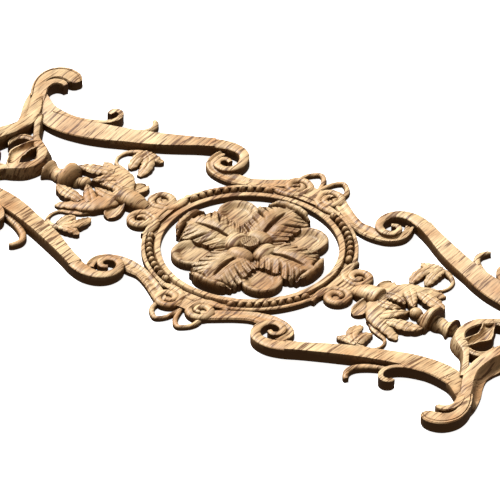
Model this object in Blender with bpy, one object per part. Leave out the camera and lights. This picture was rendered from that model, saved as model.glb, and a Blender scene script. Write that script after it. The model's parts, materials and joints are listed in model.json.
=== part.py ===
"""Carved wooden rosette in its pierced scrollwork frame, lying on its flat back.

Two solids: the rosette, and the openwork frame around it, which is carved in one. Both are
worked out for one quarter and mirrored in X and Y. Sizes below are in millimetres and MM turns
them into metres. X runs along the frame, Y across it, and Z up from the flat back.
"""
import math

import bmesh
import bpy
from mathutils import Matrix, Vector

MM = 0.001

# Heights above the flat back
BACK_DEPTH = 3.0          # how far the raw pieces reach below the back before it is planed flat
RING_HEIGHT = 9.0
GROOVE_HEIGHT = 4.5
BEAD_HEIGHT = 13.5
SCROLL_HEIGHT = 9.5
STEM_HEIGHT = 7.6
BAND_HEIGHT = 15.5
HOOK_HEIGHT = 14.5
CREST_HEIGHT = 16.0
HUSK_HEIGHT = 14.0
BALL_RADIUS = 11.5
BOWL_RADIUS = 25.0
NECK_RADIUS = 9.5
FLANGE_RADIUS = 22.0
BUTTON_HEIGHT = 18.5
LEAF_HEIGHT = 17.0
PETAL_HEIGHT = 11.0
LOBE_HEIGHT = 16.0

# Faces that turn by less than this are joined into one
FLAT_ANGLE = math.radians(13.0)

# Plan sizes
RING_INNER = 108.0
RING_STEP = 115.5
RING_BEDS = 118.0
RING_LIP = 126.5
RING_OUTER = 131.5
BEAD_CIRCLE = 121.8
BEAD_RADIUS = 4.4
BEADS_PER_QUARTER = 8
BEAD_RUN_START = math.radians(26.0)
BEAD_RUN_END = math.radians(64.0)
END_BEAD_LENGTH = 6.2
VOLUTE_CENTRE = (142.5, 24.0)
ROSETTE_RADIUS = 97.0
BUTTON_RADIUS = 12.0
LOBE_REACH = 22.0
PETAL_CENTRE = 71.0
PETAL_RADIUS = 26.0

# Sections across a strip, as (across from -1 to 1, share of the height)
ROUNDED = ((-1.0, 0.62), (-0.5, 0.93), (0.0, 1.0), (0.5, 0.93), (1.0, 0.62))
CRESTED = ((-1.0, 0.7), (0.0, 1.0), (1.0, 0.7))
FLAT = ((-1.0, 1.0), (1.0, 1.0))
AXIAL = ((-1.0, 0.62), (-0.4, 1.0), (0.4, 1.0), (1.0, 0.62))
AXIAL_LEAF = ((-1.0, 0.55), (-0.5, 1.0), (-0.12, 0.8), (0.12, 0.8), (0.5, 1.0), (1.0, 0.55))


def clear_scene():
    for obj in list(bpy.data.objects):
        bpy.data.objects.remove(obj, do_unlink=True)


def wood_material(name, colour):
    material = bpy.data.materials.new(name)
    material.use_nodes = True
    shader = material.node_tree.nodes["Principled BSDF"]
    shader.inputs["Base Color"].default_value = (*colour, 1.0)
    shader.inputs["Roughness"].default_value = 0.5
    shader.inputs["Metallic"].default_value = 0.0
    return material


def blend(points, per_span=1):
    """Stations on a smooth curve through the points, per_span of them to each span."""
    last = len(points) - 1
    stations = []
    for i in range(last):
        span = (points[max(i - 1, 0)], points[i], points[i + 1], points[min(i + 2, last)])
        for k in range(per_span):
            t = k / per_span
            stations.append(tuple(
                0.5 * (2 * b + (c - a) * t + (2 * a - 5 * b + 4 * c - d) * t * t
                       + (3 * b - a - 3 * c + d) * t ** 3)
                for a, b, c, d in zip(*span)))
    stations.append(tuple(points[-1]))
    return stations


def scroll(centre, start, radii, halves, heights, turn=1, per_quarter=3):
    """Stations round a centre: outer radius, half width and height after each quarter turn."""
    quarters = [(i, *sizes) for i, sizes in enumerate(zip(radii, halves, heights))]
    stations = []
    for quarter, radius, half, height in blend(quarters, per_quarter):
        angle = math.radians(start + turn * 90.0 * quarter)
        reach = radius - half
        stations.append((centre[0] + reach * math.cos(angle),
                         centre[1] + reach * math.sin(angle), half, height))
    return stations


def swapped(stations):
    """The same stations with X and Y exchanged."""
    return [(y, x, *sizes) for x, y, *sizes in stations]


def guide(name, bm):
    """A raw piece that the union takes in, kept out of the render."""
    bmesh.ops.recalc_face_normals(bm, faces=bm.faces)
    bmesh.ops.scale(bm, vec=(MM, MM, MM), verts=bm.verts)
    mesh = bpy.data.meshes.new(name)
    bm.to_mesh(mesh)
    bm.free()
    piece = bpy.data.objects.new(name, mesh)
    piece.hide_render = True
    piece.display_type = "WIRE"
    return piece


def strip(name, stations, section=CRESTED, edges=None):
    """A carved strip: the section swept along stations of (x, y, half width, height).

    edges are the heights of the left and right edge at each end of the strip, in pairs, for a
    top that leans; the section's own shares hold where they aren't given.
    """
    bm = bmesh.new()
    last = len(stations) - 1
    end_face = None
    for i, (x, y, half, height) in enumerate(stations):
        before = stations[max(i - 1, 0)]
        after = stations[min(i + 1, last)]
        along = Vector((after[0] - before[0], after[1] - before[1], 0.0)).normalized()
        left = Vector((-along.y, along.x, 0.0))
        places = [Vector((x, y, 0.0)) - left * half - Vector((0.0, 0.0, BACK_DEPTH))]
        for across, share in section:
            rise = height * share
            if edges:
                lean_right = edges[0][1] + (edges[1][1] - edges[0][1]) * i / last
                lean_left = edges[0][0] + (edges[1][0] - edges[0][0]) * i / last
                rise = height * (lean_right + (lean_left - lean_right) * (across + 1) / 2)
            places.append(Vector((x, y, rise)) + left * half * across)
        places.append(Vector((x, y, 0.0)) + left * half - Vector((0.0, 0.0, BACK_DEPTH)))
        if end_face is None:
            end_face = bm.faces.new([bm.verts.new(place) for place in places])
            continue
        grown = bmesh.ops.extrude_face_region(bm, geom=[end_face])["geom"]
        if i > 1:
            bmesh.ops.delete(bm, geom=[end_face], context="FACES_ONLY")
        end_face = next(item for item in grown if isinstance(item, bmesh.types.BMFace))
        for vert, place in zip(end_face.verts, places):
            vert.co = place
    return guide(name, bm)


def plate(name, outline, height):
    """A flat piece with upright walls."""
    bm = bmesh.new()
    face = bm.faces.new([bm.verts.new((x, y, -BACK_DEPTH)) for x, y in outline])
    grown = bmesh.ops.extrude_face_region(bm, geom=[face])["geom"]
    top = [item for item in grown if isinstance(item, bmesh.types.BMVert)]
    bmesh.ops.translate(bm, vec=(0.0, 0.0, height + BACK_DEPTH), verts=top)
    return guide(name, bm)


def disc(name, centre, radius, height, sides=14):
    angles = [2 * math.pi * (i + 0.5) / sides for i in range(sides)]
    outline = [(centre[0] + radius * math.cos(a), centre[1] + radius * math.sin(a)) for a in angles]
    return plate(name, outline, height)


def dome(name, centre, radii, base=0.0, sides=8, rings=4, turn=0.0):
    """A rounded lump: a sphere stretched to radii (x, y, z), its middle at height base."""
    bm = bmesh.new()
    bmesh.ops.create_uvsphere(bm, u_segments=sides, v_segments=rings, radius=1.0)
    bmesh.ops.rotate(bm, cent=(0, 0, 0), matrix=Matrix.Rotation(math.pi / sides, 3, "Z"),
                     verts=bm.verts)
    bmesh.ops.scale(bm, vec=radii, verts=bm.verts)
    bmesh.ops.rotate(bm, cent=(0, 0, 0), matrix=Matrix.Rotation(turn, 3, "Z"), verts=bm.verts)
    bmesh.ops.translate(bm, vec=(*centre, base), verts=bm.verts)
    return guide(name, bm)


def turned(name, profile, sides, axis="Z", closed=False):
    """A profile of (radius, height along the axis) turned into a solid.

    A closed profile makes a ring. The ends of an open one are filled flat. No corner lies on the
    mirror planes, because the solid is turned by half a side.
    """
    bm = bmesh.new()
    verts = [bm.verts.new((radius, 0.0, height)) for radius, height in profile]
    edges = [bm.edges.new(pair) for pair in zip(verts, verts[1:])]
    if closed:
        edges.append(bm.edges.new((verts[-1], verts[0])))
    bmesh.ops.spin(bm, geom=verts + edges, cent=(0, 0, 0), axis=(0, 0, 1),
                   angle=2 * math.pi, steps=sides, use_merge=True)
    if not closed:
        bmesh.ops.holes_fill(bm, edges=bm.edges, sides=0)
    bmesh.ops.rotate(bm, cent=(0, 0, 0), matrix=Matrix.Rotation(math.pi / sides, 3, "Z"),
                     verts=bm.verts)
    if axis == "X":
        bmesh.ops.rotate(bm, cent=(0, 0, 0), matrix=Matrix.Rotation(math.pi / 2, 3, "Y"),
                         verts=bm.verts)
    return guide(name, bm)


def carved_in_one(name, pieces, reach, material):
    """One solid: a quarter's pieces joined, planed flat at the back and mirrored in X and Y."""
    raw = bpy.data.collections.new(name + "_pieces")
    bpy.context.scene.collection.children.link(raw)
    body = pieces[0]
    body.name = name
    body.hide_render = False
    body.display_type = "TEXTURED"
    bpy.context.scene.collection.objects.link(body)
    for piece in pieces[1:]:
        raw.objects.link(piece)
    bm = bmesh.new()
    bmesh.ops.create_cube(bm, size=2.0)
    bmesh.ops.scale(bm, vec=(reach, reach, BOWL_RADIUS), verts=bm.verts)
    bmesh.ops.translate(bm, vec=(0.0, 0.0, -BOWL_RADIUS), verts=bm.verts)
    underside = guide(name + "_underside", bm)
    bpy.context.scene.collection.objects.link(underside)
    joined = body.modifiers.new("join the pieces", "BOOLEAN")
    joined.operation = "UNION"
    joined.operand_type = "COLLECTION"
    joined.collection = raw
    planed = body.modifiers.new("plane the back", "BOOLEAN")
    planed.operation = "DIFFERENCE"
    planed.object = underside
    thinned = body.modifiers.new("join the flat faces", "DECIMATE")
    thinned.decimate_type = "DISSOLVE"
    thinned.angle_limit = FLAT_ANGLE
    mirrored = body.modifiers.new("mirror the quarter", "MIRROR")
    mirrored.use_axis = (True, True, False)
    mirrored.use_bisect_axis = (True, True, False)
    mirrored.merge_threshold = 0.00002
    body.data.materials.append(material)
    return body


def ring():
    """The turned ring: inner flange, groove for the beads, and outer lip."""
    profile = (
        (RING_INNER, -BACK_DEPTH), (RING_INNER, RING_HEIGHT), (RING_STEP, RING_HEIGHT),
        (RING_BEDS, GROOVE_HEIGHT), (RING_LIP, GROOVE_HEIGHT + 1.0), (RING_LIP + 1.0, RING_HEIGHT),
        (RING_OUTER, RING_HEIGHT - 0.5), (RING_OUTER, -BACK_DEPTH))
    return turned("ring", profile, 36, closed=True)


def bead_at(angle, length):
    """A bead on the bead circle, length being its half length along the circle."""
    place = (BEAD_CIRCLE * math.cos(angle), BEAD_CIRCLE * math.sin(angle))
    size = (BEAD_RADIUS, length, BEAD_HEIGHT - GROOVE_HEIGHT)
    return dome("bead", place, size, GROOVE_HEIGHT, 6, 3, angle)


def beads():
    """A run of round beads in each quarter, with a longer one at each end of it."""
    pitch = (BEAD_RUN_END - BEAD_RUN_START) / BEADS_PER_QUARTER
    pieces = [bead_at(BEAD_RUN_START + pitch * (i + 0.5), BEAD_RADIUS)
              for i in range(BEADS_PER_QUARTER)]
    end_gap = (END_BEAD_LENGTH + 0.3) / BEAD_CIRCLE
    pieces.append(bead_at(BEAD_RUN_START - end_gap, END_BEAD_LENGTH))
    pieces.append(bead_at(BEAD_RUN_END + end_gap, END_BEAD_LENGTH))
    return pieces


def ring_volutes():
    """A scroll springing from the ring beside each axis, and the plate that closes its grooves."""
    lead = ((122.5, 50.0, 3.5, 8.5), (121.0, 36.0, 5.0, 9.0), (122.5, 22.0, 5.5, 9.5),
            (129.0, 12.0, 5.2, SCROLL_HEIGHT))
    turns = scroll(VOLUTE_CENTRE, -90, (19.5, 17.3, 17.0, 15.5, 10.5, 6.5),
                   (4.4, 4.8, 4.6, 4.2, 3.6, 3.2), (9.5, 9.5, 9.5, 9.3, 9.0, 10.0), per_quarter=2)
    stations = list(lead) + turns
    plate_centre = (VOLUTE_CENTRE[0] - 1.0, VOLUTE_CENTRE[1] + 0.5)
    pieces = [
        strip("volute_x", stations),
        strip("volute_y", swapped(stations)),
        disc("volute_plate_x", plate_centre, 14.5, 5.0, 8),
        disc("volute_plate_y", plate_centre[::-1], 14.5, 5.3, 8),
        plate("web_x", ((118, -6), (150, -6), (150, 8), (126, 16), (118, 30)), 5.6),
        plate("web_y", ((-6, 118), (30, 118), (16, 126), (8, 150), (-6, 150)), 5.9),
    ]
    return pieces


def side_loop():
    """The open loop outside the volutes on the short axis."""
    points = ((0.0, 151.0, 3.5, 6.5), (2.5, 161.0, 3.2, 6.3), (7.0, 173.0, 3.3, 6.0),
              (16.0, 181.0, 3.4, 6.0), (26.0, 174.0, 3.4, 6.0), (30.5, 166.0, 3.6, 6.2),
              (31.0, 157.0, 4.0, 6.3))
    return [strip("side_loop", points)]


def stem():
    """The stem that leaves the side volute along the ring and opens into the band's scroll."""
    upper = ((28.0, 150.0, 8.0, 7.0), (44.0, 137.0, 9.0, STEM_HEIGHT), (62.0, 125.0, 8.5, STEM_HEIGHT),
             (80.0, 115.5, 9.0, STEM_HEIGHT), (97.0, 112.5, 11.0, 8.0), (112.0, 110.5, 9.5, 8.5),
             (127.0, 113.0, 8.0, 8.5), (137.0, 122.0, 7.0, 9.0), (139.0, 134.0, 6.0, 10.0),
             (136.0, 145.0, 6.0, 10.5))
    return [strip("stem", upper, ROUNDED)]


def band():
    """The broad band from its scroll beside the ring to the hook at the end."""
    curled = ((168.0, 144.2, 9.0, BAND_HEIGHT - 0.2), (150.0, 153.5, 9.1, BAND_HEIGHT - 0.2),
              (133.0, 158.5, 8.5, 15.2), (117.0, 157.0, 7.2, 14.8), (106.5, 148.5, 6.2, 14.3),
              (102.5, 135.0, 5.5, 13.8), (106.0, 123.0, 5.0, 13.3), (116.0, 116.5, 4.8, 13.0),
              (127.0, 119.5, 4.5, 12.6), (130.5, 129.0, 4.0, 12.3), (124.5, 136.0, 3.6, 12.0),
              (117.0, 133.5, 3.2, 12.0))
    run = ((152.0, 152.5, 9.3, BAND_HEIGHT), (170.0, 143.2, 9.2, BAND_HEIGHT),
           (190.0, 132.3, 10.6, BAND_HEIGHT), (210.0, 122.0, 11.9, BAND_HEIGHT),
           (230.0, 113.0, 12.4, BAND_HEIGHT), (250.0, 105.3, 12.8, BAND_HEIGHT),
           (275.0, 96.0, 14.2, BAND_HEIGHT), (300.0, 90.5, 15.8, BAND_HEIGHT),
           (328.0, 87.7, 16.4, BAND_HEIGHT), (352.0, 91.5, 15.5, BAND_HEIGHT),
           (376.0, 103.0, 15.0, BAND_HEIGHT - 1.0))
    return [
        strip("band_scroll", curled),
        strip("band", run, FLAT, edges=((1.0, 1.0), (1.0, 0.62))),
    ]


def hook():
    outer = ((383.0, 112.0, 13.0, HOOK_HEIGHT), (391.5, 135.0, 10.0, HOOK_HEIGHT),
             (394.8, 149.0, 10.5, HOOK_HEIGHT), (392.5, 161.5, 11.5, HOOK_HEIGHT),
             (384.0, 170.5, 12.0, HOOK_HEIGHT), (374.0, 170.5, 10.5, HOOK_HEIGHT - 0.8),
             (367.5, 165.5, 6.5, HOOK_HEIGHT - 2.0))
    lip = ((383.0, 116.0, 4.0, 11.0), (386.5, 132.0, 4.5, 12.0), (386.0, 143.0, 4.5, 12.0),
           (379.5, 150.5, 4.3, 12.0), (371.0, 151.5, 3.2, 11.0))
    return [
        strip("hook", blend(outer, 2)),
        strip("hook_lip", lip),
    ]


def end_member():
    """The upright member of the end and the plain crest where both halves meet."""
    member = ((388.0, 124.0, 11.0, HOOK_HEIGHT), (381.5, 98.0, 12.5, CREST_HEIGHT - 0.8),
              (371.5, 75.0, 12.2, CREST_HEIGHT - 0.4), (369.5, 55.0, 12.8, CREST_HEIGHT),
              (374.0, 36.0, 14.5, CREST_HEIGHT), (383.0, 18.0, 17.0, CREST_HEIGHT),
              (389.0, 4.0, 20.0, CREST_HEIGHT - 1.0), (390.0, -6.0, 22.0, CREST_HEIGHT - 1.0))
    return [strip("end_member", member, ROUNDED)]


def curls():
    """The two small curls that stand off the band's outer edge."""
    first = ((282.0, 111.0, 4.0, 9.0), (266.0, 116.0, 4.5, 9.0), (251.0, 124.0, 4.7, 9.0),
             (240.0, 134.0, 4.5, 9.0), (236.5, 145.0, 4.2, 9.0), (240.5, 155.0, 3.8, 8.5),
             (244.5, 158.5, 2.6, 8.0))
    second = ((345.0, 106.0, 2.2, 16.2), (315.0, 106.8, 3.0, 16.2), (295.0, 111.5, 4.0, 16.0),
              (281.5, 120.0, 4.5, 15.0), (277.0, 130.0, 4.2, 14.5), (280.5, 140.5, 4.0, 14.5),
              (288.0, 142.5, 3.8, 14.5), (290.5, 136.5, 3.4, 14.5))
    return [
        strip("low_curl", first),
        strip("high_curl", second),
    ]


def tendril():
    """The thin tendril from the leaf cluster and the small leaf that it carries to the band."""
    line = ((228.0, 50.0, 3.0, 5.0), (236.5, 61.0, 2.2, 4.5), (242.5, 76.0, 2.0, 4.5),
            (239.0, 88.5, 2.2, 5.0), (227.0, 95.5, 2.6, 6.0), (214.0, 98.0, 4.5, 7.0),
            (206.0, 97.0, 5.0, 8.0))
    lobes = (
        ((218.0, 100.0, 5.5, 8.5), (205.0, 98.0, 6.0, 8.6), (189.0, 94.0, 2.4, 8.6)),
        ((212.0, 98.0, 6.0, 8.0), (196.0, 88.0, 6.5, 7.0), (184.5, 79.0, 2.2, 6.0)),
        ((211.0, 97.0, 6.5, 8.0), (202.0, 78.0, 6.5, 6.4), (198.5, 55.0, 2.0, 4.6)),
        ((216.0, 98.0, 6.5, 7.5), (218.0, 82.0, 7.0, 6.0), (214.5, 64.0, 2.0, 3.6)),
    )
    pieces = [strip("tendril", line)]
    for i, lobe in enumerate(lobes):
        lowered = [(x, y, half, height - 0.13 * i) for x, y, half, height in lobe]
        pieces.append(strip("small_leaf_lobe", lowered))
    return pieces


def leaf_cluster():
    """The lobed leaf that opens from the husk, one half of it above the long axis."""
    lobes = (
        ((190.0, 14.0, 13.0, 10.5), (197.0, 34.0, 12.0, 9.0), (211.0, 48.0, 10.0, 6.5),
         (228.0, 55.0, 6.0, 4.0), (243.0, 57.0, 2.0, 2.6)),
        ((198.0, 22.0, 10.0, 11.5), (219.0, 37.0, 10.0, 9.5), (238.0, 42.5, 8.0, 8.7),
         (254.0, 40.5, 2.2, 7.8)),
        ((205.0, 22.0, 8.0, 11.0), (225.0, 25.5, 8.0, 10.0), (244.0, 29.0, 7.0, 8.6),
         (261.0, 27.0, 2.2, 7.2)),
        ((188.0, 5.0, 9.0, 12.0), (203.0, 11.0, 8.5, 11.5), (217.0, 12.0, 6.5, 9.6),
         (231.0, 8.5, 2.2, 7.6)),
    )
    pieces = []
    for lobe in lobes:
        pieces.append(strip("cluster_lobe", lobe))
    return pieces


def husk():
    """The bell-shaped husk between the ring's volutes and the leaf cluster."""
    bell = ((152.0, 0.0, 8.0, 8.0), (160.0, 0.0, 11.5, 11.5), (172.0, 0.0, 13.5, HUSK_HEIGHT),
            (186.0, 0.0, 14.5, HUSK_HEIGHT), (196.0, 0.0, 13.0, 12.0))
    petal = ((184.0, 6.0, 7.5, 10.0), (180.5, 22.0, 8.0, 7.0), (177.5, 34.0, 7.0, 4.8),
             (176.5, 43.0, 3.0, 3.5))
    return [
        strip("husk", bell, AXIAL),
        strip("husk_petal", petal),
    ]


def finial():
    """The turned finial on the long axis: ball, bowl, neck and flared flange."""
    profile = ((5.0, 230.0), (BALL_RADIUS - 0.5, 238.0), (BALL_RADIUS - 0.5, 248.0),
               (13.0, 255.5), (BOWL_RADIUS - 2.0, 261.5), (BOWL_RADIUS, 265.0),
               (16.0, 272.0), (NECK_RADIUS, 280.0), (12.0, 288.5), (FLANGE_RADIUS, 293.5),
               (FLANGE_RADIUS, 297.0), (NECK_RADIUS, 298.5), (NECK_RADIUS - 1.0, 309.0))
    return [turned("finial", profile, 12, "X")]


def calyx():
    """The leaf at the end: its outer scroll, inner leaf, hoop and the tongue on the axis."""
    outer = ((304.0, -4.0, 8.0, 10.0), (308.5, 12.0, 8.5, 11.0), (318.0, 27.0, 9.5, 12.0),
             (332.0, 39.0, 10.0, 12.5), (346.0, 53.0, 8.5, 13.0), (360.0, 70.0, 8.0, 14.0))
    inner = ((316.0, 27.0, 7.0, 13.0), (332.0, 33.0, 7.5, 13.5), (347.0, 30.5, 7.0, 13.0),
             (358.5, 19.0, 2.4, 11.0))
    hoop = ((335.0, 34.0, 5.0, 12.0), (338.0, 18.0, 5.5, 10.5), (338.0, -4.0, 6.0, 10.0))
    tongue = ((300.0, 0.0, 7.5, 9.5), (318.0, 0.0, 5.0, 8.5), (338.0, 0.0, 8.5, 10.6),
              (354.0, 0.0, 5.0, 9.5), (372.0, 0.0, 6.0, 10.0))
    return [
        strip("calyx_scroll", outer),
        strip("calyx_leaf", inner),
        strip("calyx_hoop", hoop),
        strip("calyx_tongue", tongue, AXIAL),
    ]


def leaf_stations():
    """Half widths and heights of a rosette leaf along its rib, with its serrated edge."""
    reach = ROSETTE_RADIUS + 1.0
    shape = ((4.0, 9.0, 11.5), (22.0, 16.0, 11.5), (40.0, 25.0, 12.5), (58.0, 31.0, 13.5),
             (72.0, 33.0, 14.0), (79.0, 33.0, 12.5), (86.0, 31.0, LEAF_HEIGHT),
             (93.0, 26.0, LEAF_HEIGHT - 0.6), (reach, 16.0, LEAF_HEIGHT - 3.5))
    stations = []
    for i, (along, half, height) in enumerate(blend(shape, 2)):
        tooth = 1.6 if i % 2 else -1.6
        stations.append((along, 0.0, half + tooth * min(1.0, half / 25.0), height))
    return stations


def rosette_pieces():
    """The rosette's button, lobes, leaves and dished petals."""
    leaf = leaf_stations()
    diagonal = math.sqrt(0.5)
    petal_place = (PETAL_CENTRE * diagonal, PETAL_CENTRE * diagonal)
    button_profile = ((BUTTON_RADIUS * 0.6, BUTTON_HEIGHT), (BUTTON_RADIUS, BUTTON_HEIGHT - 2.5),
                      (BUTTON_RADIUS + 0.5, -BACK_DEPTH))
    return [
        turned("button", button_profile, 12),
        strip("leaf_x", leaf, AXIAL_LEAF),
        strip("leaf_y", swapped(leaf), AXIAL_LEAF),
        petal("petal", petal_place),
        dome("lobe_x", (LOBE_REACH, 0.0), (9.5, 14.5, LOBE_HEIGHT - 4.0), 4.0, 8, 4),
        dome("lobe_y", (0.0, LOBE_REACH), (14.5, 9.5, LOBE_HEIGHT - 4.0), 4.0, 8, 4),
        disc("core", (0.0, 0.0), 50.0, 8.0, 16),
    ]


def petal(name, centre):
    """A round petal with a raised rim and a dished middle."""
    rim = 5.0
    profile = ((PETAL_RADIUS - 3.5 * rim, PETAL_HEIGHT - 3.0),
               (PETAL_RADIUS - 2.0 * rim, PETAL_HEIGHT - 2.4), (PETAL_RADIUS - rim, PETAL_HEIGHT),
               (PETAL_RADIUS - 1.2, PETAL_HEIGHT - 0.4), (PETAL_RADIUS, PETAL_HEIGHT - 1.6),
               (PETAL_RADIUS, -BACK_DEPTH))
    piece = turned(name, profile, 16)
    for vert in piece.data.vertices:
        vert.co += Vector((*centre, 0.0)) * MM
    return piece


def main():
    clear_scene()
    light_wood = wood_material("carved_wood", (0.66, 0.52, 0.36))
    dark_wood = wood_material("rosette_wood", (0.58, 0.42, 0.27))
    frame_pieces = [ring()]
    for group in (beads, ring_volutes, side_loop, stem, band, hook, end_member, curls, tendril,
                  leaf_cluster, husk, finial, calyx):
        frame_pieces += group()
    carved_in_one("scroll_frame", frame_pieces, 440.0, light_wood)
    carved_in_one("rosette", rosette_pieces(), 120.0, dark_wood)


main()
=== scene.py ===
"""Carved wooden rosette in its pierced scrollwork frame: the fine carving, the wood and the stage.

The frame's carving is worked out for the quarter where X and Y are positive, in millimetres, and
mirrored. MM turns those plan sizes into metres. Sizes and colours that a user would change are in
the property groups, in metres.
"""

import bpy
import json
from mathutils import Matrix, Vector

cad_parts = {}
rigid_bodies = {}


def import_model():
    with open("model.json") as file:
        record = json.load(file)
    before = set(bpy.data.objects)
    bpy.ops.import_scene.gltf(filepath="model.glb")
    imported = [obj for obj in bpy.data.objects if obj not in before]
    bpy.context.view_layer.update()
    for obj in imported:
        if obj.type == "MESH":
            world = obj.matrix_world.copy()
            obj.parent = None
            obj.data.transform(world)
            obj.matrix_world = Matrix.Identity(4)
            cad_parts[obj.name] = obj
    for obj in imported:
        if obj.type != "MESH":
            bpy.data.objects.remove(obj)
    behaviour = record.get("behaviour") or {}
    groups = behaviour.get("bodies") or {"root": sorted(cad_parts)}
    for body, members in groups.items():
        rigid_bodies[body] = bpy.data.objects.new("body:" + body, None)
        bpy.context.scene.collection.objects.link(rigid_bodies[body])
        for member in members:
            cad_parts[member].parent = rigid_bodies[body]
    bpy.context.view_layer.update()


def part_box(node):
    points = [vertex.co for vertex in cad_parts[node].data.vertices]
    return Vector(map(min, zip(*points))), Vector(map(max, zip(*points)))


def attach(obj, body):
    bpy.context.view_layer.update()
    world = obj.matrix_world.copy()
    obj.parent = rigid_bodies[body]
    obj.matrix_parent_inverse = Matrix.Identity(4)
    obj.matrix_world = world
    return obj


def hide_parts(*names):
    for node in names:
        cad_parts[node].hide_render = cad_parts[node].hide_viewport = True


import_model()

import json
import math

import bmesh
import bpy
from bpy.props import FloatProperty, FloatVectorProperty, IntProperty, PointerProperty
from mathutils import Matrix, Vector

bl_info = {
    "name": "Carved Rosette Onlay",
    "version": (1, 0, 0),
    "blender": (4, 5, 0),
    "location": "View3D > Sidebar > Carving",
    "description": "A carved wooden rosette in its pierced scrollwork frame, with its stage",
    "category": "Add Mesh",
}

MM = 0.001
BACK_DEPTH = 3.0
QUARTER = "frame_quarter"
ROSETTE_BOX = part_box("rosette")
FRAME_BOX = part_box("scroll_frame")

# Beyond this turn between two faces the edge stays crisp
FRAME_CRISP = math.radians(32.0)
ROSETTE_CRISP = math.radians(42.0)


class CarvingSizes(bpy.types.PropertyGroup):
    """Sizes of the carving."""
    ring_height: FloatProperty(
        name="Ring Height", description="Height of the ring's two flanges",
        default=0.009, min=0.005, max=0.02, subtype="DISTANCE", unit="LENGTH")
    bead_radius: FloatProperty(
        name="Bead Radius", description="Radius of a bead in the ring's groove",
        default=0.0045, min=0.002, max=0.006, subtype="DISTANCE", unit="LENGTH")
    bead_count: IntProperty(
        name="Beads", description="Beads in each quarter of the ring, without the long end ones",
        default=8, min=3, max=14)
    scroll_height: FloatProperty(
        name="Scroll Height", description="Height of the small scrolls round the ring",
        default=0.0095, min=0.005, max=0.02, subtype="DISTANCE", unit="LENGTH")
    band_height: FloatProperty(
        name="Band Height", description="Height of the broad bands",
        default=0.0155, min=0.008, max=0.024, subtype="DISTANCE", unit="LENGTH")
    crest_height: FloatProperty(
        name="Crest Height", description="Height of the upright members at the ends",
        default=0.016, min=0.008, max=0.024, subtype="DISTANCE", unit="LENGTH")
    button_height: FloatProperty(
        name="Button Height", description="Height of the rosette's middle button",
        default=ROSETTE_BOX[1].z, min=0.01, max=0.03, subtype="DISTANCE", unit="LENGTH")
    rosette_radius: FloatProperty(
        name="Rosette Radius", description="Reach of the rosette's leaves from its centre",
        default=ROSETTE_BOX[1].x, min=0.08, max=0.105, subtype="DISTANCE", unit="LENGTH")
    steps_per_span: IntProperty(
        name="Steps per Span", description="Stations between two control points of a strip",
        default=6, min=1, max=12)


class WoodLooks(bpy.types.PropertyGroup):
    """Colours and grain of the wood, with the dark colour of its painted shade."""
    pale: FloatVectorProperty(
        name="Pale Wood", description="Colour of the palest wood", subtype="COLOR", size=3,
        default=(0.87, 0.63, 0.35), min=0.0, max=1.0)
    warm: FloatVectorProperty(
        name="Warm Wood", description="Colour of the pinkish patches", subtype="COLOR", size=3,
        default=(0.58, 0.32, 0.145), min=0.0, max=1.0)
    streak: FloatVectorProperty(
        name="Pore Streaks", description="Colour of the dark pores along the grain",
        subtype="COLOR", size=3, default=(0.13, 0.055, 0.02), min=0.0, max=1.0)
    # Painted shade: the dark colour painted on steep walls and into deep cuts, where shade would
    # fall
    painted_shade: FloatVectorProperty(
        name="Recesses", description="Colour of steep walls and deep cuts", subtype="COLOR", size=3,
        default=(0.1, 0.042, 0.009), min=0.0, max=1.0)
    streak_spacing: FloatProperty(
        name="Streak Spacing", description="Distance between two dark streaks",
        default=0.0036, min=0.002, max=0.03, subtype="DISTANCE", unit="LENGTH")
    grain_tilt: FloatProperty(
        name="Grain Tilt", description="Turn of the grain from the Y axis",
        default=math.radians(4.0), subtype="ANGLE", unit="ROTATION")
    roughness: FloatProperty(
        name="Roughness", description="Roughness of the waxed surface",
        default=0.42, min=0.1, max=1.0, subtype="FACTOR")


class StageLooks(bpy.types.PropertyGroup):
    """The camera's place and the strength of the lamps."""
    azimuth: FloatProperty(
        name="Azimuth", description="Turn of the camera round the carving, from the front",
        default=math.radians(33.07), subtype="ANGLE", unit="ROTATION")
    elevation: FloatProperty(
        name="Elevation", description="Height of the camera as an angle above the floor",
        default=math.radians(35.26), subtype="ANGLE", unit="ROTATION")
    roll: FloatProperty(
        name="Roll", description="Turn of the camera about its own line of sight",
        default=math.radians(0.94), subtype="ANGLE", unit="ROTATION")
    aim: FloatVectorProperty(
        name="Aim", description="Place that the middle of the picture shows", size=3,
        default=(0.0008, -0.0008, 0.0052), subtype="XYZ", unit="LENGTH")
    view_width: FloatProperty(
        name="View Width", description="Width of the picture at the carving",
        default=0.604, min=0.1, max=2.0, subtype="DISTANCE", unit="LENGTH")
    key: FloatProperty(
        name="Key Light", description="Strength of the main lamp", default=5.7, min=0.0, max=20.0)
    fill: FloatProperty(
        name="Fill Light", description="Strength of the light from all round",
        default=0.22, min=0.0, max=5.0)


# Curves and sections

def blend(points, per_span):
    """Stations on a smooth curve through the points, per_span of them to each span."""
    last = len(points) - 1
    stations = []
    for i in range(last):
        span = (points[max(i - 1, 0)], points[i], points[i + 1], points[min(i + 2, last)])
        for k in range(per_span):
            t = k / per_span
            stations.append(tuple(
                0.5 * (2 * b + (c - a) * t + (2 * a - 5 * b + 4 * c - d) * t * t
                       + (3 * b - a - 3 * c + d) * t ** 3)
                for a, b, c, d in zip(*span)))
    stations.append(tuple(points[-1]))
    return stations


def scalloped(stations, pitch, depth):
    """The same stations with their width swelling and shrinking along the way."""
    travelled = 0.0
    cut = []
    for i, (x, y, half, height) in enumerate(stations):
        if i:
            travelled += math.hypot(x - stations[i - 1][0], y - stations[i - 1][1])
        swell = depth * (abs(math.sin(math.pi * travelled / pitch)) - 0.6)
        cut.append((x, y, half + swell * min(1.0, half / 6.0), height))
    return cut


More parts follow.
